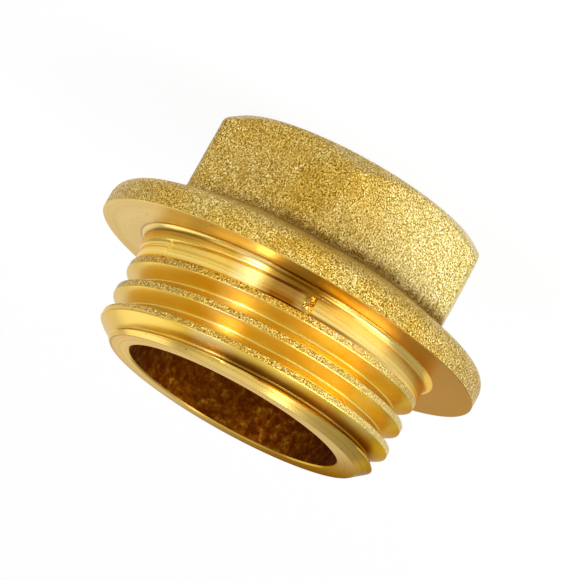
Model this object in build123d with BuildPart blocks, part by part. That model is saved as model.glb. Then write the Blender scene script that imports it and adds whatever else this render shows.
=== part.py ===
from build123d import *
import math
import os

# Hexagon-headed pipe plug: one piece of forged brass with a turned seat and a cut thread.
# The plug stands on its head. The origin is the centre of the head's outer face and +Z runs
# along the axis, through the flange and the thread, to the open mouth. Sizes are millimetres.

# Head and flange, left as forged
hex_sides = 6
hex_across_flats = 19.0
hex_corner_radius = 0.9
head_face_inset = 0.4           # from the flats in to the round outer face
head_corner_drop = 1.35         # how far the crowned rim takes the six corners back from that face
head_height = 9.4               # outer face to seat face
head_root_chamfer = 0.4         # where the hexagon meets the flange
flange_overhang = 3.02          # past the corners of the hexagon
flange_rim_height = 1.8         # rim height before its edge is rounded
flange_slope = 18.0             # degrees, rise of the flange towards the hexagon
flange_edge_radius = 1.1

# Turned seat, neck and thread: parallel pipe thread of nominal size 1/2
neck_chamfer = 0.45             # cone between the seat face and the thread
thread_major_diameter = 20.955
thread_pitch = 1.814
thread_flank_angle = 55.0       # degrees, between the two flanks of a groove
thread_crest_flat = 0.46
thread_root_flat = 0.167
thread_length = 7.5             # seat face to end face
thread_land = 0.08              # plain land between the neck and the first groove
thread_start_angle = -10.0      # degrees about +Z, where the first groove breaks off
run_out_angle = 105.0           # degrees of shallow groove from there to full depth
run_out_depth = 0.32
end_chamfer_width = 1.28        # radial
end_chamfer_length = 1.1        # axial

# Cored hollow, open at the mouth
hollow_wall = 1.56              # left under the thread's root at the mouth
hollow_depth = 12.5
hollow_draft = 1.5              # degrees, narrowing towards the bottom
hollow_bottom_chamfer = 1.5

# Allowances for cutting tools that have to reach past the surface they cut
cutter_overrun = 0.4

# The groove is a V with a flat root, as wide at the surface as the pitch less the crest
flank_run = math.tan(math.radians(thread_flank_angle / 2))
groove_half_width = (thread_pitch - thread_crest_flat) / 2
thread_depth = (groove_half_width - thread_root_flat / 2) / flank_run
overrun_half_width = groove_half_width + cutter_overrun * flank_run

# Radii that follow from the sizes above
flat_radius = hex_across_flats / 2
corner_centre_radius = (flat_radius - hex_corner_radius) / math.cos(math.pi / hex_sides)
corner_radius = corner_centre_radius + hex_corner_radius
flange_radius = corner_radius + flange_overhang
head_face_radius = flat_radius - head_face_inset
thread_radius = thread_major_diameter / 2
root_radius = thread_radius - thread_depth
cutter_radius = thread_radius + cutter_overrun
hollow_mouth_radius = root_radius - hollow_wall
hollow_floor_radius = hollow_mouth_radius - hollow_depth * math.tan(math.radians(hollow_draft))

# The crowned rim is part of a sphere that meets the outer face and the dropped corners
crown_z = (corner_radius**2 - head_face_radius**2 + head_corner_drop**2) / (2 * head_corner_drop)
crown_radius = math.hypot(head_face_radius, crown_z)

# Heights that follow
seat_z = head_height
neck_z = seat_z + neck_chamfer
end_z = seat_z + thread_length
flange_rim_z = seat_z - flange_rim_height
flange_crown_z = flange_rim_z - flange_radius * math.tan(math.radians(flange_slope))
hollow_floor_z = end_z - hollow_depth
run_out_z = neck_z + thread_land + groove_half_width
run_out_rise = thread_pitch * run_out_angle / 360
groove_z = run_out_z + run_out_rise
groove_rise = end_z + groove_half_width + cutter_overrun - groove_z

# The bar is longer than the groove, and the facing cut carries the chamfer past its surface
bar_length = thread_length + 2 * thread_pitch
facing_z = end_z - end_chamfer_length * (1 + cutter_overrun / end_chamfer_width)


# Hexagon head: a prism with rounded corners and a crowned rim at its outer face
with BuildPart() as head:
    with BuildSketch(Plane.XY) as hexagon:
        RegularPolygon(flat_radius, hex_sides, major_radius=False)
        fillet(hexagon.vertices(), hex_corner_radius)
    extrude(amount=seat_z)
    with Locations((0, 0, crown_z)):
        Sphere(crown_radius, mode=Mode.INTERSECT)

def thread_groove(start_z, rise, depth):
    """A right-hand groove of that depth, wound up the thread from start_z at +X."""
    floor_radius = thread_radius - depth
    floor_half_width = groove_half_width - depth * flank_run
    with BuildPart() as groove:
        with BuildLine(Plane.XY.offset(start_z)) as groove_path:
            Helix(thread_pitch, rise, thread_radius)
        with BuildSketch(Plane.XZ):
            with BuildLine():
                Polyline(
                    (floor_radius, start_z - floor_half_width),
                    (cutter_radius, start_z - overrun_half_width),
                    (cutter_radius, start_z + overrun_half_width),
                    (floor_radius, start_z + floor_half_width),
                    close=True,
                )
            make_face()
        sweep(path=groove_path.line, is_frenet=True)
    return groove.part


# Thread grooves: the shallow run-out at the neck, then full depth to past the mouth
run_out_groove = thread_groove(run_out_z, run_out_rise, run_out_depth)
full_groove = thread_groove(groove_z, groove_rise, thread_depth)

# Threaded stud: the grooves are cut in an overlong bar, which is then faced and chamfered
with BuildPart() as stud:
    with BuildSketch(Plane.XY.offset(seat_z)):
        Circle(thread_radius)
    extrude(amount=bar_length)
    add(full_groove, rotation=(0, 0, thread_start_angle + run_out_angle), mode=Mode.SUBTRACT)
    add(run_out_groove, rotation=(0, 0, thread_start_angle), mode=Mode.SUBTRACT)
    with BuildSketch(Plane.XZ):
        with BuildLine():
            Polyline(
                (0, end_z),
                (thread_radius - end_chamfer_width, end_z),
                (thread_radius, end_z - end_chamfer_length),
                (cutter_radius, facing_z),
                (cutter_radius, seat_z + bar_length),
                (0, seat_z + bar_length),
                close=True,
            )
        make_face()
    revolve(axis=Axis.Z, mode=Mode.SUBTRACT)

# Plug body: flange and neck turned about the axis, then the head, the stud and the hollow
with BuildPart() as plug:
    with BuildSketch(Plane.XZ) as flange:
        with BuildLine():
            Polyline(
                (0, flange_crown_z),
                (flange_radius, flange_rim_z),
                (flange_radius, seat_z),
                (thread_radius + neck_chamfer, seat_z),
                (thread_radius, neck_z),
                (0, neck_z),
                close=True,
            )
        make_face()
        rim_corner = flange.vertices().group_by(Axis.X)[-1].sort_by(Axis.Y)[0]
        fillet(rim_corner, flange_edge_radius)
    revolve(axis=Axis.Z)
    add(head.part)
    chamfer(plug.edges(Select.NEW), head_root_chamfer)
    add(stud.part)
    with BuildSketch(Plane.XZ) as hollow:
        with BuildLine():
            Polyline(
                (0, hollow_floor_z),
                (hollow_floor_radius, hollow_floor_z),
                (hollow_mouth_radius, end_z),
                (0, end_z),
                close=True,
            )
        make_face()
        floor_corner = hollow.vertices().group_by(Axis.Y)[0].sort_by(Axis.X)[-1]
        chamfer(floor_corner, hollow_bottom_chamfer)
    revolve(axis=Axis.Z, mode=Mode.SUBTRACT)

plug.part.label = "plug_body"
os.makedirs("parts", exist_ok=True)
export_step(plug.part, "parts/plug_body.step")
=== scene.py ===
import math

import bmesh
import bpy
import numpy as np
from mathutils import Matrix, Vector


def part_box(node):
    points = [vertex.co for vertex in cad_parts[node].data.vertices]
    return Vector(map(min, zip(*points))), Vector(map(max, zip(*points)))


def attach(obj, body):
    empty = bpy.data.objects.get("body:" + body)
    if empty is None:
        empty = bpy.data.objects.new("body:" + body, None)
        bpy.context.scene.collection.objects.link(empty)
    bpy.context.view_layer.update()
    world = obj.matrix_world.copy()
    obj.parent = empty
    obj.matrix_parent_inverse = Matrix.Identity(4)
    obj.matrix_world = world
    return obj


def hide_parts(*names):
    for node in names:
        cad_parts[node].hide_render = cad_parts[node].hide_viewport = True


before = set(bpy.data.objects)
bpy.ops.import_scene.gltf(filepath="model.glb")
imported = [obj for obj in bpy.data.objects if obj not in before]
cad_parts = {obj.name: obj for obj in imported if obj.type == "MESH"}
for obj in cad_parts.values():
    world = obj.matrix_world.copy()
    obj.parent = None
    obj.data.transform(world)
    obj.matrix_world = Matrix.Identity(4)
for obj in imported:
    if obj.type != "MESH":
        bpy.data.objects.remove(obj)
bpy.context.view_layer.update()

# Sizes of the plug are in millimetres; the overall ones are read from model.glb
MM = 0.001
low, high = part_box("plug_body")
FLANGE_RADIUS = min(high[0], high[1], -low[0], -low[1]) / MM
END_Z = high[2] / MM
SEAT_Z = 9.4

# Hexagon head and flange, as forged
HEX_SIDES = 6
FLAT_RADIUS = 9.5
HEX_CORNER_RADIUS = 0.9
HEX_CORNER_CENTRE = (FLAT_RADIUS - HEX_CORNER_RADIUS) / math.cos(math.pi / HEX_SIDES)
HEAD_FACE_RADIUS = 9.1
HEAD_CORNER_DROP = 1.35
HEAD_EDGE_RADIUS = 0.5
HEAD_FACE_EDGE_RADIUS = 0.5
HEAD_ROOT_RADIUS = 0.38
FLANGE_RIM_HEIGHT = 1.8
FLANGE_SLOPE = math.radians(18)
FLANGE_RISE = math.tan(FLANGE_SLOPE)
FLANGE_FOOT = SEAT_Z - FLANGE_RIM_HEIGHT - FLANGE_RADIUS * FLANGE_RISE    # where the slope meets the axis
FLANGE_EDGE_RADIUS = 1.1

# Turned seat and neck
EDGE_BREAK = 0.05
NECK_FILLET = 0.45
NECK_Z = SEAT_Z + NECK_FILLET
NECK_LINE = 0.08                    # width of the painted dark line of shade on the seat beside the neck

# Thread and chamfered end
THREAD_RADIUS = 20.955 / 2
PITCH = 1.814
FLANK_RUN = math.tan(math.radians(55 / 2))
CREST_FLAT = 0.46
ROOT_FLAT = 0.167
GROOVE_HALF_WIDTH = (PITCH - CREST_FLAT) / 2
GROOVE_EDGE_BLUR = 0.035
GROOVE_EDGE_SAMPLES = 9
THREAD_LAND = 0.08
THREAD_START = math.radians(-10)    # about +Z from +X, where the first groove breaks off
END_CHAMFER_WIDTH = 1.28
END_CHAMFER_LENGTH = 1.1
FACED_CREST = 0.3                   # strip of crest below the chamfer that is turned bright

# First turn of the groove; its angles are counted from the break-off
RUN_OUT_DEPTHS = (0.32, 0.14)
RUN_OUT_STEP = math.radians(64.5)
RUN_OUT_BLEND = math.radians(1.8)
RUN_OUT_END = math.radians(105)
BURR_ANGLE = math.radians(3.6)
BURR_HEIGHT = 0.3
BURR_HALF_WIDTH = 0.45
BURR_LEAN = 9                       # columns that its outline shifts by in a millimetre across
BURR_SEED = 3
BURR_LOWEST = 0.2                   # share of its height that is left at the lowest places
BURR_ROUGH = BURR_HEIGHT / 4        # the burr looks blasted above this height
SKIN_START = math.radians(280)      # the crest below the first groove is blasted from here on

# Painted shade on the thread, from 0 to 1: a painted dark reflection in the first groove, and a painted
# shadow line under the crest below it
GROOVE_REFLECTION_MIDDLE = math.radians(12)
GROOVE_REFLECTION_HALF = math.radians(11)
GROOVE_REFLECTION_GAIN = 1.6
GROOVE_REFLECTION_EDGE = 0.2             # full stain above this offset from the groove's middle
GROOVE_REFLECTION_LOW = 0.75
CREST_SHADOW_WIDTH = 0.2
CREST_SHADOW = 0.9

# Hollow
MOUTH_RADIUS = 7.78
HOLLOW_FLOOR_Z = END_Z - 12.5
HOLLOW_FLOOR_RADIUS = 7.45
HOLLOW_BOTTOM = 1.5

# Mesh
COLUMNS = 400
CORNER_WARP = 0.5                   # how much closer the columns are at the hexagon's corners
WARP_STEPS = 40
CROWN_SHARES = (0.33, 0.66)
FAN = 6                             # how many times smaller the middle polygon of a flat face is
MERGE_DISTANCE = 1e-6
SLIVER_LENGTH = 1e-7
SHARP_ANGLE = math.radians(35)

# Finishes, in the order of the piece's material slots
FORGED, SEAT, END, NECK, FLANK, HOLLOW = range(6)

# Directions in the plug's frame, named as the photograph shows them
RIGHT = (0, -1, 0)
LEFT = (0, 1, 0)
TO_MOUTH = (0, 0, 1)
TO_HEAD = (0, 0, -1)
# Sides of the end face's painted dark reflection
END_SHADE_SIDE = (-0.7, -0.7, 0)
END_TINT_SIDE = (-0.72, -0.69, 0)

# Places round the axis, about +Z from +X, of painted dark reflections and a painted highlight
DARK_REFLECTION_ANGLE = math.radians(-4)
HIGHLIGHT_ANGLE = math.radians(17)
SEAT_DARK_REFLECTION_ANGLE = math.radians(-11)

# Colours and amounts that more than one line of the finishes uses
DARK_REFLECTION_BROWN = (0.70, 0.42, 0.030)
SHADE_LINE_BROWN = (0.30, 0.18, 0.08)
CREST_PALE = 0.4

# Camera, read off the photograph: image size in pixels and the seat's centre in it
IMAGE_SIZE = 580
SEAT_PIXEL = (286.4, 309.4)
PIXELS_PER_MM = 15.16
VIEW_AZIMUTH = math.radians(-2)
VIEW_ELEVATION = math.radians(12.2)
AXIS_TILT = math.radians(29.2)
CAMERA_DISTANCE = 400.0
SENSOR_WIDTH = 36.0
CLIP_START = 0.01                   # metres
CLIP_END = 20                       # metres

# Floor, in metres, and its brightness
FLOOR_HALF = 3.0
FLOOR_GREY = (0.82, 0.82, 0.82, 1)
FLOOR_GLOW_SHARE = 0.94
WHITE = (1, 1, 1, 1)

# Light: name, azimuth and elevation in degrees, distance and size in metres, radiance
WORLD_STRENGTH = 0.45
LAMPS = (
    ("key_right", -54, 37, 0.34, (0.34, 0.12), 8.6),
    ("side_right", -66, 3.5, 0.36, (0.22, 0.05), 4.5),
    ("strip_left", 31, 14, 0.36, (0.06, 0.18), 11.5),
    ("fill_left", 62, 34, 0.36, (0.20, 0.20), 1.6),
    ("back_left", 142, 42, 0.36, (0.30, 0.20), 1.0),
    ("back_low", 180, 13, 0.36, (0.50, 0.14), 0.45),
    ("top", 0, 86, 0.36, (0.36, 0.36), 0.45),
    ("top_right", -92, 75, 0.34, (0.05, 0.05), 4.0),
)


def column_angles():
    """Angles of the mesh columns, from the thread's break-off once round, closer at the corners."""
    warp = CORNER_WARP / HEX_SIDES
    start = THREAD_START
    for _ in range(WARP_STEPS):
        start = THREAD_START + warp * math.sin(HEX_SIDES * start)
    even = start + np.linspace(0, 2 * math.pi, COLUMNS + 1)
    return even - warp * np.sin(HEX_SIDES * even)


def hexagon_radius(angle):
    """Radius of the hexagon with rounded corners; a corner lies on +X."""
    step = 2 * math.pi / HEX_SIDES
    off = np.abs((angle + step / 2) % step - step / 2)
    side = HEX_CORNER_CENTRE * np.sin(off)
    bulge = np.sqrt(np.maximum(HEX_CORNER_RADIUS**2 - side**2, 0))
    rounded = HEX_CORNER_CENTRE * np.cos(off) + bulge
    tangent = math.atan2(
        HEX_CORNER_RADIUS * math.sin(step / 2),
        HEX_CORNER_CENTRE + HEX_CORNER_RADIUS * math.cos(step / 2),
    )
    return np.where(off < tangent, rounded, FLAT_RADIUS / np.cos(step / 2 - off))


class Rows:
    """Rows of the skin, from the middle of the head's face to the middle of the hollow's floor.

    A row has a radius, a height and an amount of painted shade for every column, and the finish of
    the faces between the row before and itself.
    """

    def __init__(self, columns):
        self.columns = columns
        self.radius = []
        self.height = []
        self.finish = []
        self.painted_shade = []

    def add(self, radius, height, finish, painted_shade=0.0):
        self.radius.append(np.broadcast_to(np.asarray(radius, float), self.columns.shape))
        self.height.append(np.broadcast_to(np.asarray(height, float), self.columns.shape))
        self.finish.append(np.broadcast_to(np.asarray(finish), self.columns.shape))
        self.painted_shade.append(np.broadcast_to(np.asarray(painted_shade, float), self.columns.shape))

    def run(self, start, end, count, finish, painted_shade=0.0):
        """Rows on a straight run between two (radius, height), without its start; painted shade at its
        end.
        """
        for share in np.linspace(0, 1, count + 1)[1:]:
            self.add(
                start[0] + (end[0] - start[0]) * share,
                start[1] + (end[1] - start[1]) * share,
                finish,
                painted_shade if share == 1 else 0.0,
            )

    def arc(self, centre, radius, first, last, count, finish, painted_shade=(0.0,)):
        """Rows on an arc about centre from one angle to another; painted_shade lists the amounts of
        painted shade on the way.
        """
        stops = np.linspace(0, 1, len(painted_shade))
        for share in np.linspace(0, 1, count + 1):
            turn = first + (last - first) * share
            across = centre[0] + radius * np.cos(turn)
            along = centre[1] + radius * np.sin(turn)
            self.add(across, along, finish, np.interp(share, stops, painted_shade))


def head_rows(rows):
    """Outer face, crowned rim, hexagon, and the fillet to the flange."""
    wall = hexagon_radius(rows.columns)
    corner = HEX_CORNER_CENTRE + HEX_CORNER_RADIUS
    crown_z = (corner**2 - HEAD_FACE_RADIUS**2 + HEAD_CORNER_DROP**2) / (2 * HEAD_CORNER_DROP)
    crown = math.hypot(HEAD_FACE_RADIUS, crown_z)

    inner = crown - HEAD_FACE_EDGE_RADIUS
    face_r = math.sqrt(inner**2 - (crown_z - HEAD_FACE_EDGE_RADIUS) ** 2)
    face_slope = math.atan2(HEAD_FACE_EDGE_RADIUS - crown_z, face_r)
    face_edge = (face_r, HEAD_FACE_EDGE_RADIUS)
    rows.add(face_r / FAN, 0, FORGED)
    rows.run((face_r / FAN, 0), (face_r, 0), count=5, finish=FORGED)
    rows.arc(face_edge, HEAD_FACE_EDGE_RADIUS, -math.pi / 2, face_slope, count=5, finish=FORGED)

    inner = crown - HEAD_EDGE_RADIUS
    rim_r = wall - HEAD_EDGE_RADIUS
    rim_z = crown_z - np.sqrt(inner**2 - rim_r**2)
    rim_slope = np.arctan2(rim_z - crown_z, rim_r)
    for share in CROWN_SHARES:
        slope = face_slope + (rim_slope - face_slope) * share
        rows.add(crown * np.cos(slope), crown_z + crown * np.sin(slope), FORGED)
    rows.arc((rim_r, rim_z), HEAD_EDGE_RADIUS, rim_slope, 0, count=8, finish=FORGED)

    root_r = wall + HEAD_ROOT_RADIUS
    root_z = FLANGE_FOOT + root_r * FLANGE_RISE - HEAD_ROOT_RADIUS / math.cos(FLANGE_SLOPE)
    root = (root_r, root_z)
    root_end = math.pi / 2 + FLANGE_SLOPE
    # Painted shade darkens the foot of the hexagon and the fillet to the flange
    root_shade = (1.0, 0.4)
    rows.run((wall, rim_z), (wall, root_z), count=8, finish=FORGED, painted_shade=0.6)
    rows.arc(root, HEAD_ROOT_RADIUS, math.pi, root_end, count=6, finish=FORGED, painted_shade=root_shade)


def flange_rows(rows):
    """Flange slope, rounded rim, and the turned seat with its neck fillet."""
    centre_r = FLANGE_RADIUS - FLANGE_EDGE_RADIUS
    centre_z = FLANGE_FOOT + centre_r * FLANGE_RISE + FLANGE_EDGE_RADIUS / math.cos(FLANGE_SLOPE)
    centre = (centre_r, centre_z)
    slope_start = (rows.radius[-1], rows.height[-1])
    slope_end = (
        centre_r + FLANGE_EDGE_RADIUS * math.sin(FLANGE_SLOPE),
        centre_z - FLANGE_EDGE_RADIUS * math.cos(FLANGE_SLOPE),
    )
    rim_end = (FLANGE_RADIUS, SEAT_Z - EDGE_BREAK)
    rows.run(slope_start, slope_end, count=3, finish=FORGED)
    rows.arc(centre, FLANGE_EDGE_RADIUS, FLANGE_SLOPE - math.pi / 2, 0, count=9, finish=FORGED)
    rows.run((FLANGE_RADIUS, centre_z), rim_end, count=4, finish=FORGED)

    seat_start = (FLANGE_RADIUS - EDGE_BREAK, SEAT_Z)
    seat_end = (THREAD_RADIUS + NECK_FILLET, SEAT_Z)
    line_start = (seat_end[0] + NECK_LINE, SEAT_Z)
    rows.run(rim_end, seat_start, count=1, finish=SEAT)
    rows.run(seat_start, line_start, count=6, finish=SEAT)
    # Painted shade: a dark line on the seat beside the neck
    rows.run(line_start, seat_end, count=1, finish=SEAT, painted_shade=0.85)

    fillet = (THREAD_RADIUS + NECK_FILLET, NECK_Z)
    # Painted dark reflections in lines round the neck fillet
    dark_lines = (0.85, 0.05, 0.0, 0.75, 0.0)
    rows.arc(fillet, NECK_FILLET, -math.pi / 2, -math.pi, count=8, finish=NECK, painted_shade=dark_lines)


def groove_depth(offset):
    """Depth of the groove at an axial offset from its middle, with its edges a little rounded."""
    full = (GROOVE_HALF_WIDTH - ROOT_FLAT / 2) / FLANK_RUN
    total = 0
    for shift in np.linspace(-GROOVE_EDGE_BLUR, GROOVE_EDGE_BLUR, GROOVE_EDGE_SAMPLES):
        from_edge = GROOVE_HALF_WIDTH - np.abs(offset + shift)
        total = total + np.clip(from_edge / FLANK_RUN, 0, full)
    return total / GROOVE_EDGE_SAMPLES


def run_out_limit(turned):
    """Depth that the first turn of the groove has reached at an angle from its break-off."""
    step = (RUN_OUT_STEP, RUN_OUT_STEP + RUN_OUT_BLEND)
    return np.where(turned < RUN_OUT_END, np.interp(turned, step, RUN_OUT_DEPTHS), PITCH)


def burr_height(turned, offset, ragged):
    """Height of the torn ridge that the tool left in the groove where it broke off."""
    along = np.clip(1 - np.abs(2 * turned / BURR_ANGLE - 1), 0, 1)
    across = max(0, 1 - (offset / BURR_HALF_WIDTH) ** 2)
    return BURR_HEIGHT * np.sqrt(along) * across * np.roll(ragged, round(offset * BURR_LEAN))


def row_offsets():
    """Axial offsets of the rows of one pitch, from one crest's middle to the next."""
    root = ROOT_FLAT / 2
    crest = GROOVE_HALF_WIDTH + GROOVE_EDGE_BLUR
    upper = np.concatenate([
        [0, root - GROOVE_EDGE_BLUR, root],
        np.linspace(root + GROOVE_EDGE_BLUR, GROOVE_HALF_WIDTH - GROOVE_EDGE_BLUR, 5),
        [GROOVE_HALF_WIDTH, crest],
        np.linspace(crest, PITCH / 2, 4)[1:],
    ])
    return np.concatenate([-upper[:0:-1], upper[:-1]])


def thread_finish(turn, offset, turned, limit, burr):
    """Finish of one row of the thread at every column, as if the end had no chamfer."""
    crest = abs(offset) > GROOVE_HALF_WIDTH
    if turn < 0 or (turn == 0 and crest and offset < 0):
        return np.where(crest & (turned > SKIN_START), FORGED, NECK)
    if crest:
        return FORGED
    if turn > 0:
        return FLANK
    cut = np.where(limit < PITCH, NECK, FLANK)
    return np.where(burr > BURR_ROUGH, FORGED, cut)


def thread_painted_shade(turn, offset, turned):
    """Painted dark reflection in the first groove near its break-off, and a painted shadow line under the
    crest below it.
    """
    if turn == -1 and 0 < GROOVE_HALF_WIDTH - offset < CREST_SHADOW_WIDTH:
        return np.where(turned > SKIN_START, CREST_SHADOW, 0.0)
    if turn == 0 and abs(offset) < GROOVE_HALF_WIDTH:
        off_middle = np.abs(turned - GROOVE_REFLECTION_MIDDLE) / GROOVE_REFLECTION_HALF
        near = np.clip(GROOVE_REFLECTION_GAIN - GROOVE_REFLECTION_GAIN * off_middle, 0, 1)
        return near * (1.0 if offset > GROOVE_REFLECTION_EDGE else GROOVE_REFLECTION_LOW)
    return 0.0


def thread_rows(rows):
    """Thread, in rows that climb with the helix, held between the neck and the end face.

    Gives the number of rows in one turn.
    """
    turned = rows.columns - rows.columns[0]
    climb = PITCH * turned / (2 * math.pi)
    limit = run_out_limit(turned)
    ragged = np.random.default_rng(BURR_SEED).uniform(BURR_LOWEST, 1.0, len(turned))
    offsets = row_offsets()
    faced_z = END_Z - END_CHAMFER_LENGTH - FACED_CREST
    first_groove = NECK_Z + THREAD_LAND + GROOVE_HALF_WIDTH
    first_turn = math.floor((NECK_Z - first_groove - PITCH) / PITCH)
    last_turn = math.ceil((END_Z - first_groove) / PITCH) + 1
    for turn in range(first_turn, last_turn):
        groove_z = first_groove + climb + turn * PITCH
        for offset in offsets:
            height = np.clip(groove_z + offset, NECK_Z, END_Z)
            burr = burr_height(turned, offset, ragged)
            depth = np.zeros_like(height)
            if turn >= 0:
                depth = groove_depth(height - groove_z)
            if turn == 0:
                depth = np.minimum(depth, limit) - burr
            radius = THREAD_RADIUS - depth
            chamfered = 1 - (END_Z - height) / END_CHAMFER_LENGTH
            cone = THREAD_RADIUS - END_CHAMFER_WIDTH * chamfered

            finish = thread_finish(turn, offset, turned, limit, burr)
            finish = np.where(cone < radius, END, finish)
            if abs(offset) > GROOVE_HALF_WIDTH:
                finish = np.where(height > faced_z, END, finish)
            painted_shade = thread_painted_shade(turn, offset, turned)
            rows.add(np.minimum(radius, cone), height, finish, painted_shade)
    return len(offsets)


def mouth_rows(rows):
    """End face, hollow and its bottom."""
    outer = (THREAD_RADIUS - END_CHAMFER_WIDTH, END_Z)
    face_start = (outer[0] - EDGE_BREAK, END_Z)
    lip = (MOUTH_RADIUS + 2 * EDGE_BREAK, END_Z)
    wall_top = (MOUTH_RADIUS, END_Z - 2 * EDGE_BREAK)
    # Painted shade in a dark line round the outer edge of the end face
    rows.run(outer, face_start, count=1, finish=END, painted_shade=0.8)
    rows.run(face_start, lip, count=6, finish=END)
    rows.run(lip, wall_top, count=2, finish=END)

    wall_end = (HOLLOW_FLOOR_RADIUS, HOLLOW_FLOOR_Z + HOLLOW_BOTTOM)
    floor_edge = (HOLLOW_FLOOR_RADIUS - HOLLOW_BOTTOM, HOLLOW_FLOOR_Z)
    floor_fan = (floor_edge[0] / FAN, HOLLOW_FLOOR_Z)
    rows.run(wall_top, wall_end, count=14, finish=HOLLOW)
    rows.run(wall_end, floor_edge, count=4, finish=HOLLOW)
    rows.run(floor_edge, floor_fan, count=5, finish=HOLLOW)


def plug_mesh():
    """The whole skin as one closed mesh."""
    columns = column_angles()
    rows = Rows(columns)
    head_rows(rows)
    flange_rows(rows)
    thread_first = len(rows.radius)
    rows_per_turn = thread_rows(rows)
    thread_last = len(rows.radius)
    mouth_rows(rows)

    radius = np.array(rows.radius)
    height = np.array(rows.height)
    points = np.stack([radius * np.cos(columns), radius * np.sin(columns), height], axis=-1) * MM
    mesh = bpy.data.meshes.new("plug_body_skin")
    work = bmesh.new()
    painted_shade = work.verts.layers.float.new("painted_shade")
    verts = [[work.verts.new(point) for point in line] for line in points]
    for line, amounts in zip(verts, rows.painted_shade):
        for vert, amount in zip(line, amounts):
            vert[painted_shade] = amount

    def face(corners, finish):
        made = work.faces.new(corners)
        made.material_index = int(finish)
        made.smooth = True

    for row in range(len(verts) - 1):
        for column in range(COLUMNS):
            corners = (
                verts[row][column],
                verts[row][column + 1],
                verts[row + 1][column + 1],
                verts[row + 1][column],
            )
            face(corners, rows.finish[row + 1][column])
    # A thread row ends one pitch up, where the same row of the next turn starts
    for row in range(thread_first, thread_last - 1 - rows_per_turn):
        corners = (
            verts[row][COLUMNS],
            verts[row + rows_per_turn][0],
            verts[row + rows_per_turn + 1][0],
            verts[row + 1][COLUMNS],
        )
        face(corners, NECK)
    face(verts[0][:COLUMNS][::-1], FORGED)
    face(verts[-1][:COLUMNS], HOLLOW)
    bmesh.ops.remove_doubles(work, verts=work.verts, dist=MERGE_DISTANCE)
    bmesh.ops.dissolve_degenerate(work, edges=work.edges, dist=SLIVER_LENGTH)
    bmesh.ops.recalc_face_normals(work, faces=work.faces)
    work.to_mesh(mesh)
    work.free()
    mesh.set_sharp_from_angle(angle=SHARP_ANGLE)
    return mesh


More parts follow.
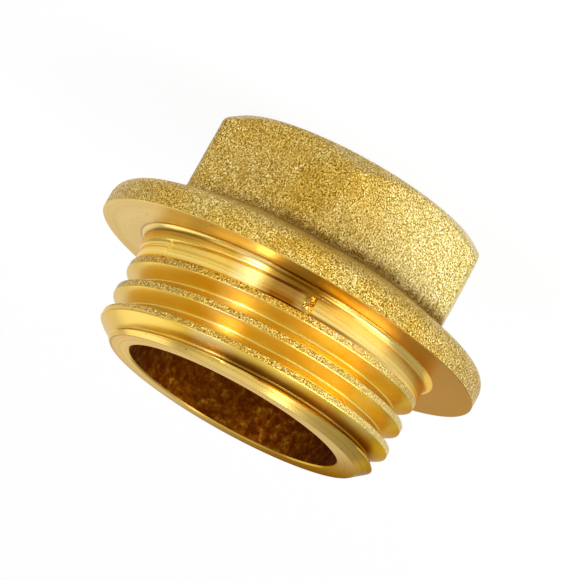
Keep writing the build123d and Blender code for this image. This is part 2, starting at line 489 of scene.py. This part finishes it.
class Nodes:
    """Shorthand for one brass material's node tree."""

    def __init__(self, name):
        self.material = bpy.data.materials.new(name)
        self.material.use_nodes = True
        self.tree = self.material.node_tree
        self.shader = self.tree.nodes["Principled BSDF"]
        self.shader.inputs["Metallic"].default_value = 1.0

    def node(self, kind, **settings):
        """A new node; a setting is one of its properties, or else the value of an input."""
        made = self.tree.nodes.new(kind)
        for key, value in settings.items():
            if key in made.bl_rna.properties:
                setattr(made, key, value)
            else:
                made.inputs[key.replace("_", " ")].default_value = value
        return made

    def link(self, source, target):
        self.tree.links.new(source, target)

    def feed(self, socket, value):
        """Give an input a number, a colour, or another node's output."""
        if isinstance(value, float):
            socket.default_value = value
        elif isinstance(value, tuple):
            socket.default_value = (*value, 1.0)
        else:
            self.link(value, socket)

    def position(self):
        return self.node("ShaderNodeTexCoord").outputs["Object"]

    def height(self):
        split = self.node("ShaderNodeSeparateXYZ")
        self.link(self.position(), split.inputs["Vector"])
        return split.outputs["Z"]

    def sideways(self):
        """Position with its height left out."""
        flat = self.node("ShaderNodeVectorMath", operation="MULTIPLY")
        flat.inputs[1].default_value = (1, 1, 0)
        self.link(self.position(), flat.inputs[0])
        return flat.outputs["Vector"]

    def radius(self):
        length = self.node("ShaderNodeVectorMath", operation="LENGTH")
        self.link(self.sideways(), length.inputs[0])
        return length.outputs["Value"]

    def turned_coordinates(self):
        """Radius and height, so that noise becomes tool marks round the axis."""
        turned = self.node("ShaderNodeCombineXYZ")
        self.link(self.radius(), turned.inputs["X"])
        self.link(self.height(), turned.inputs["Y"])
        return turned.outputs["Vector"]

    def noise(self, vector, scale, detail=2.0, roughness=0.5):
        made = self.node("ShaderNodeTexNoise", Scale=scale, Detail=detail, Roughness=roughness)
        self.link(vector, made.inputs["Vector"])
        return made.outputs["Fac"]

    def ramp(self, value, stops):
        made = self.node("ShaderNodeValToRGB")
        ramp = made.color_ramp
        while len(ramp.elements) < len(stops):
            ramp.elements.new(0.5)
        for element, (place, color) in zip(ramp.elements, stops):
            element.position = place
            element.color = (*color, 1.0)
        self.link(value, made.inputs["Fac"])
        return made.outputs["Color"]

    def spread(self, value, source, target):
        """The value, taken from the range source to the range target and held at its ends."""
        made = self.node(
            "ShaderNodeMapRange",
            From_Min=source[0],
            From_Max=source[1],
            To_Min=target[0],
            To_Max=target[1],
        )
        self.link(value, made.inputs["Value"])
        return made.outputs["Result"]

    def times(self, first, second):
        made = self.node("ShaderNodeMath", operation="MULTIPLY")
        self.link(first, made.inputs[0])
        self.link(second, made.inputs[1])
        return made.outputs["Value"]

    def mix(self, share, first, second, blend="MIX"):
        made = self.node("ShaderNodeMix", data_type="RGBA", blend_type=blend)
        self.feed(made.inputs[0], share)
        self.feed(made.inputs[6], first)
        self.feed(made.inputs[7], second)
        return made.outputs[2]

    def bump(self, height, strength, distance):
        made = self.node("ShaderNodeBump", Strength=strength)
        self.feed(made.inputs["Distance"], distance)
        self.link(height, made.inputs["Height"])
        return made.outputs["Normal"]

    def film(self, direction, start, end, amount=1.0):
        """Share that grows along a direction, from none at start to amount at end, in millimetres."""
        along = self.node("ShaderNodeVectorMath", operation="DOT_PRODUCT")
        along.inputs[1].default_value = direction
        self.link(self.position(), along.inputs[0])
        return self.spread(along.outputs["Value"], (start * MM, end * MM), (0.0, amount))

    def toward(self, angle, far, near, amount=1.0):
        """Share that grows towards an angle about the axis.

        It is none at the turn off that angle whose cosine is far, and amount at near's.
        """
        unit = self.node("ShaderNodeVectorMath", operation="NORMALIZE")
        self.link(self.sideways(), unit.inputs[0])
        cosine = self.node("ShaderNodeVectorMath", operation="DOT_PRODUCT")
        cosine.inputs[1].default_value = (math.cos(angle), math.sin(angle), 0)
        self.link(unit.outputs["Vector"], cosine.inputs[0])
        return self.spread(cosine.outputs["Value"], (far, near), (0.0, amount))

    def neck_dark_reflection(self):
        """Share of the painted dark reflection round the neck beside the break-off, streaked along the
        tool marks.
        """
        near = self.toward(DARK_REFLECTION_ANGLE, far=0.966, near=0.995)
        below = self.spread(self.height(), ((NECK_Z + 0.1) * MM, (NECK_Z + 0.4) * MM), (1.0, 0.0))
        inner = self.spread(self.radius(), (11.8 * MM, 13.0 * MM), (1.0, 0.3))
        marks = self.noise(self.turned_coordinates(), scale=2600)
        drawn = self.spread(marks, (0.36, 0.58), (0.2, 1.0))
        return self.times(self.times(near, below), self.times(inner, drawn))

    def painted_shade(self):
        return self.node("ShaderNodeAttribute", attribute_name="painted_shade").outputs["Fac"]

    def turned_painted_shade(self):
        """Share of the painted dark lines of shade on turned faces, which fade out to the right."""
        return self.times(self.painted_shade(), self.film(LEFT, start=-9.5, end=-4.0))

    def tool_sheen(self, amount):
        """Sheen drawn out across the tool marks."""
        self.shader.inputs["Anisotropic"].default_value = amount
        self.shader.inputs["Anisotropic Rotation"].default_value = 0.25
        tangent = self.node("ShaderNodeTangent", direction_type="RADIAL", axis="Z")
        self.link(tangent.outputs["Tangent"], self.shader.inputs["Tangent"])

    def finish(self, color, roughness, normal, edge_tint=None):
        """The finished material; edge_tint is the colour that it keeps at a glancing angle."""
        self.link(color, self.shader.inputs["Base Color"])
        self.link(roughness, self.shader.inputs["Roughness"])
        self.link(normal, self.shader.inputs["Normal"])
        if edge_tint is not None:
            self.link(edge_tint, self.shader.inputs["Specular Tint"])
        return self.material


def forged_brass():
    """Shot-blasted skin: a fine crust of bright and dark grains."""
    brass = Nodes("forged_brass")
    place = brass.position()
    grain = brass.noise(place, scale=8600, detail=2.0, roughness=0.6)
    blotch = brass.spread(brass.noise(place, scale=1300), (0.40, 0.66), (0.0, 0.5))
    patch = brass.spread(brass.noise(place, scale=230), (0.42, 0.62), (0.0, 0.9))
    color = brass.ramp(grain, [
        (0.36, (0.20, 0.105, 0.008)),
        (0.47, (0.55, 0.350, 0.060)),
        (0.55, (0.79, 0.570, 0.140)),
        (0.65, (1.00, 0.890, 0.460)),
    ])
    color = brass.mix(blotch, color, (0.48, 0.30, 0.045))
    color = brass.mix(patch, color, (0.94, 0.83, 0.46), "MULTIPLY")

    # Painted light: a lit copy of the grain's colours on the head's faces on the right, and painted shade
    # on those on the left
    bright = brass.ramp(grain, [
        (0.36, (0.36, 0.235, 0.040)),
        (0.47, (0.68, 0.500, 0.135)),
        (0.55, (0.89, 0.730, 0.265)),
        (0.65, (1.00, 0.940, 0.630)),
    ])
    head = brass.film(TO_HEAD, start=-6.8, end=-5.5)
    painted_light_right = brass.times(brass.film(RIGHT, start=1.0, end=6.0), head)
    painted_shade_left = brass.times(brass.film(LEFT, start=-1.0, end=3.0, amount=0.4), head)
    color = brass.mix(painted_light_right, color, bright)
    color = brass.mix(painted_shade_left, color, (0.86, 0.80, 0.66), "MULTIPLY")

    # Painted shade darkens the creases, least on the left, and the thread's crests are paler and smoother
    # on the right
    crease_shade = brass.times(brass.painted_shade(), brass.film(RIGHT, start=-12.0, end=0.0))
    thread = brass.film(TO_MOUTH, start=SEAT_Z, end=NECK_Z)
    pale_crests = brass.times(brass.film(RIGHT, start=2.5, end=8.0, amount=CREST_PALE), thread)
    color = brass.mix(crease_shade, color, (0.30, 0.20, 0.09), "MULTIPLY")
    color = brass.mix(pale_crests, color, (0.94, 0.76, 0.300))
    roughness = brass.spread(grain, (0.40, 0.62), (0.5, 0.28))
    depth = brass.spread(pale_crests, (0.0, CREST_PALE), (0.12 * MM, 0.08 * MM))
    normal = brass.bump(grain, strength=1.0, distance=depth)
    return brass.finish(color, roughness, normal)


def turned_color(brass, dark_ring, light_ring):
    """Colour of a turned face: rings of tool marks, clouds and a few pits."""
    place = brass.position()
    rings = brass.noise(brass.turned_coordinates(), scale=1800, detail=3.0)
    cloud = brass.spread(brass.noise(place, scale=220), (0.40, 0.65), (0.0, 0.45))
    pits = brass.spread(brass.noise(place, scale=3200, detail=1.0), (0.72, 0.76), (0.0, 0.8))
    color = brass.ramp(rings, [(0.32, dark_ring), (0.50, (0.84, 0.59, 0.155)), (0.68, light_ring)])
    color = brass.mix(cloud, color, (0.80, 0.50, 0.085))
    return brass.mix(pits, color, (0.22, 0.10, 0.02))


def seat_brass():
    """Turned seat: satin, with faint tool marks, and painted dark reflections in brown on the right and
    in a patch in front.
    """
    brass = Nodes("seat_brass")
    # Painted dark reflections, on the right and in a patch in front
    film = brass.film(RIGHT, start=-2.0, end=8.0, amount=0.85)
    seat_dark_reflection = brass.toward(SEAT_DARK_REFLECTION_ANGLE, far=0.975, near=0.998, amount=0.7)
    color = turned_color(brass, (0.78, 0.52, 0.120), (0.88, 0.65, 0.200))
    color = brass.mix(film, color, (0.50, 0.265, 0.060))
    color = brass.mix(seat_dark_reflection, color, (0.36, 0.20, 0.02))
    color = brass.mix(brass.neck_dark_reflection(), color, DARK_REFLECTION_BROWN)
    color = brass.mix(brass.turned_painted_shade(), color, SHADE_LINE_BROWN, "MULTIPLY")
    marks = brass.noise(brass.turned_coordinates(), scale=7000)
    roughness = brass.spread(marks, (0.3, 0.7), (0.40, 0.32))
    normal = brass.bump(marks, strength=0.15, distance=0.03 * MM)
    # The glancing colour darkens with the same painted dark reflections
    edge_tint = brass.mix(film, (1.0, 0.94, 0.82), (0.85, 0.60, 0.34))
    edge_tint = brass.mix(seat_dark_reflection, edge_tint, (0.36, 0.22, 0.08))
    brass.tool_sheen(0.25)
    return brass.finish(color, roughness, normal, edge_tint)


def end_brass():
    """Turned end face and chamfer, with a painted dark reflection in brown at the back on the right."""
    brass = Nodes("end_brass")
    # Painted dark reflection, brown towards the back on the right
    film = brass.film(END_SHADE_SIDE, start=-4.0, end=6.0, amount=0.75)
    lines = brass.noise(brass.turned_coordinates(), scale=4200, detail=3.0, roughness=0.6)
    dark_lines = brass.spread(lines, (0.50, 0.64), (0.0, 0.5))
    color = turned_color(brass, (0.62, 0.38, 0.065), (0.92, 0.72, 0.290))
    color = brass.mix(film, color, (0.50, 0.29, 0.035))
    color = brass.mix(dark_lines, color, (0.44, 0.24, 0.035))
    color = brass.mix(brass.turned_painted_shade(), color, SHADE_LINE_BROWN, "MULTIPLY")
    roughness = brass.spread(lines, (0.3, 0.7), (0.20, 0.28))
    normal = brass.bump(lines, strength=0.25, distance=0.03 * MM)
    # Painted dark reflection: the glancing colour turns brown on one side
    edge_shade = brass.film(END_TINT_SIDE, start=2.2, end=8.5)
    edge_tint = brass.mix(edge_shade, (1.0, 0.86, 0.60), (0.38, 0.22, 0.065))
    brass.tool_sheen(0.25)
    return brass.finish(color, roughness, normal, edge_tint)


def neck_brass():
    """Neck and thread run-out: bright, scored by the threading tool, with painted light on the right, a
    painted highlight, and a painted dark reflection beside the break-off.
    """
    brass = Nodes("neck_brass")
    marks = brass.noise(brass.turned_coordinates(), scale=3200, detail=4.0, roughness=0.65)
    # Painted light on the right, and a painted highlight where a lamp's reflection falls
    lit_right = brass.film(RIGHT, start=1.0, end=6.0, amount=0.65)
    painted_highlight = brass.toward(HIGHLIGHT_ANGLE, far=0.991, near=0.999, amount=0.55)
    color = brass.ramp(marks, [
        (0.34, (0.62, 0.35, 0.035)),
        (0.46, (0.83, 0.57, 0.105)),
        (0.60, (0.90, 0.67, 0.190)),
        (0.70, (0.96, 0.81, 0.380)),
    ])
    color = brass.mix(lit_right, color, (0.93, 0.74, 0.250))
    color = brass.mix(painted_highlight, color, (0.97, 0.86, 0.460))
    color = brass.mix(brass.neck_dark_reflection(), color, (0.30, 0.13, 0.006))
    color = brass.mix(brass.turned_painted_shade(), color, (0.36, 0.17, 0.03), "MULTIPLY")
    roughness = brass.spread(marks, (0.3, 0.7), (0.30, 0.18))
    normal = brass.bump(marks, strength=0.28, distance=0.04 * MM)
    # Painted reflection: the glancing colour is more orange on the right
    edge_tint = brass.mix(brass.film(RIGHT, start=1.0, end=8.0), (1.0, 0.88, 0.64), (1.0, 0.70, 0.34))
    brass.tool_sheen(0.5)
    return brass.finish(color, roughness, normal, edge_tint)


def flank_brass():
    """Cut flanks and roots: bright, with fine marks round the axis, a painted darker reflection in brown
    on the left, and a painted highlight.
    """
    brass = Nodes("flank_brass")
    marks = brass.noise(brass.turned_coordinates(), scale=8000)
    cloud = brass.noise(brass.position(), scale=300)
    cloudy = brass.spread(cloud, (0.35, 0.65), (0.0, 1.0))
    # Painted darker reflection in brown on the left, and a painted highlight
    film = brass.film(LEFT, start=-3.0, end=9.0, amount=0.55)
    painted_highlight = brass.toward(HIGHLIGHT_ANGLE, far=0.984, near=0.999, amount=0.5)
    color = brass.mix(cloudy, (0.85, 0.59, 0.095), (0.92, 0.71, 0.200))
    color = brass.mix(film, color, DARK_REFLECTION_BROWN)
    color = brass.mix(painted_highlight, color, (0.96, 0.78, 0.400))

    # Painted shade: the root of the last groove is dark on the right
    deep = brass.spread(brass.radius(), (9.5 * MM, 10.3 * MM), (0.9, 0.0))
    last_groove = brass.film(TO_MOUTH, start=14.9, end=15.5)
    shaded_side = brass.film(RIGHT, start=-6.0, end=-1.0)
    root_shade = brass.times(deep, brass.times(last_groove, shaded_side))
    color = brass.mix(root_shade, color, (0.28, 0.13, 0.012))
    roughness = brass.spread(cloud, (0.3, 0.7), (0.28, 0.35))
    normal = brass.bump(marks, strength=0.18, distance=0.02 * MM)
    # Painted reflection: the glancing colour warms towards the right and darkens at the far right
    edge_tint = brass.mix(brass.film(RIGHT, start=-2.0, end=7.0), (1.0, 0.95, 0.85), (1.0, 0.80, 0.46))
    edge_tint = brass.mix(brass.film(RIGHT, start=6.0, end=10.0), edge_tint, (0.62, 0.40, 0.22))
    brass.tool_sheen(0.5)
    return brass.finish(color, roughness, normal, edge_tint)


def hollow_brass():
    """Cored hollow: scaled and dull, with painted shade that darkens it towards its floor."""
    brass = Nodes("hollow_brass")
    scale = brass.noise(brass.position(), scale=1900, detail=4.0, roughness=0.65)
    # Painted shade, deeper into the hollow
    depth = brass.film(TO_HEAD, start=-16.0, end=-11.0, amount=0.6)
    color = brass.ramp(scale, [
        (0.40, (0.12, 0.022, 0.001)),
        (0.56, (0.25, 0.068, 0.002)),
        (0.74, (0.60, 0.290, 0.024)),
    ])
    color = brass.mix(depth, color, (0.13, 0.022, 0.001))
    roughness = brass.spread(scale, (0.3, 0.7), (0.6, 0.45))
    normal = brass.bump(scale, strength=0.4, distance=0.08 * MM)
    return brass.finish(color, roughness, normal)


def make_plug():
    piece = bpy.data.objects.new("plug_body_skin", plug_mesh())
    bpy.context.collection.objects.link(piece)
    finishes = (
        forged_brass(),
        seat_brass(),
        end_brass(),
        neck_brass(),
        flank_brass(),
        hollow_brass(),
    )
    for material in finishes:
        piece.data.materials.append(material)
    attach(piece, "root")
    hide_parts("plug_body")


def floor_white():
    """White to the camera and in reflections, with a faint shadow of the plug."""
    material = bpy.data.materials.new("floor_white")
    material.use_nodes = True
    tree = material.node_tree
    tree.nodes.remove(tree.nodes["Principled BSDF"])
    output = tree.nodes["Material Output"]
    diffuse = tree.nodes.new("ShaderNodeBsdfDiffuse")
    diffuse.inputs["Color"].default_value = FLOOR_GREY
    glow = tree.nodes.new("ShaderNodeEmission")
    glow.inputs["Color"].default_value = WHITE
    path = tree.nodes.new("ShaderNodeLightPath")
    seen = path.outputs["Is Camera Ray"]
    for name in ("Is Glossy Ray", "Is Transmission Ray"):
        either = tree.nodes.new("ShaderNodeMath")
        either.operation = "MAXIMUM"
        tree.links.new(seen, either.inputs[0])
        tree.links.new(path.outputs[name], either.inputs[1])
        seen = either.outputs["Value"]
    share = tree.nodes.new("ShaderNodeMath")
    share.operation = "MULTIPLY"
    share.inputs[1].default_value = FLOOR_GLOW_SHARE
    tree.links.new(seen, share.inputs[0])
    mix = tree.nodes.new("ShaderNodeMixShader")
    tree.links.new(share.outputs["Value"], mix.inputs["Fac"])
    tree.links.new(diffuse.outputs["BSDF"], mix.inputs[1])
    tree.links.new(glow.outputs["Emission"], mix.inputs[2])
    tree.links.new(mix.outputs["Shader"], output.inputs["Surface"])
    return material


def make_floor():
    corners = [
        (-FLOOR_HALF, -FLOOR_HALF, 0),
        (FLOOR_HALF, -FLOOR_HALF, 0),
        (FLOOR_HALF, FLOOR_HALF, 0),
        (-FLOOR_HALF, FLOOR_HALF, 0),
    ]
    mesh = bpy.data.meshes.new("floor")
    mesh.from_pydata(corners, [], [(0, 1, 2, 3)])
    mesh.materials.append(floor_white())
    floor = bpy.data.objects.new("floor", mesh)
    bpy.context.collection.objects.link(floor)


def outward(azimuth, elevation):
    """Unit vector at an azimuth about +Z from +X and an elevation, in radians."""
    return Vector((
        math.cos(elevation) * math.cos(azimuth),
        math.cos(elevation) * math.sin(azimuth),
        math.sin(elevation),
    ))


def softbox(name, azimuth, elevation, distance, size, radiance):
    """A rectangular area lamp that faces the plug's seat."""
    lamp = bpy.data.lights.new(name, "AREA")
    lamp.shape = "RECTANGLE"
    lamp.size, lamp.size_y = size
    lamp.energy = radiance * math.pi * size[0] * size[1]
    box = bpy.data.objects.new(name, lamp)
    away = outward(math.radians(azimuth), math.radians(elevation))
    box.location = Vector((0, 0, SEAT_Z * MM)) + away * distance
    box.rotation_euler = away.to_track_quat("Z", "Y").to_euler()
    bpy.context.collection.objects.link(box)


def make_light():
    world = bpy.data.worlds.new("studio")
    world.use_nodes = True
    background = world.node_tree.nodes["Background"]
    background.inputs["Color"].default_value = WHITE
    background.inputs["Strength"].default_value = WORLD_STRENGTH
    bpy.context.scene.world = world
    for lamp in LAMPS:
        softbox(*lamp)


def make_camera():
    """Nearly parallel view from a little above +X, rolled so that the plug lies as photographed."""
    view = outward(VIEW_AZIMUTH, VIEW_ELEVATION)
    axis = Vector((0, 0, 1)) - view * view.z
    axis.normalize()
    side = view.cross(axis)
    right = -math.sin(AXIS_TILT) * axis + math.cos(AXIS_TILT) * side
    up = -math.cos(AXIS_TILT) * axis - math.sin(AXIS_TILT) * side
    middle = IMAGE_SIZE / 2
    target = Vector((0, 0, SEAT_Z * MM))
    target += right * (middle - SEAT_PIXEL[0]) / PIXELS_PER_MM * MM
    target += up * (SEAT_PIXEL[1] - middle) / PIXELS_PER_MM * MM
    data = bpy.data.cameras.new("photo_camera")
    data.sensor_width = SENSOR_WIDTH
    data.lens = PIXELS_PER_MM * CAMERA_DISTANCE / IMAGE_SIZE * SENSOR_WIDTH
    data.clip_start = CLIP_START
    data.clip_end = CLIP_END
    camera = bpy.data.objects.new("photo_camera", data)
    turn = Matrix((right, up, view)).transposed().to_4x4()
    camera.matrix_world = Matrix.Translation(target + view * CAMERA_DISTANCE * MM) @ turn
    bpy.context.collection.objects.link(camera)
    bpy.context.scene.camera = camera


make_plug()
make_floor()
make_light()
make_camera()
bpy.context.scene.view_settings.view_transform = "Standard"
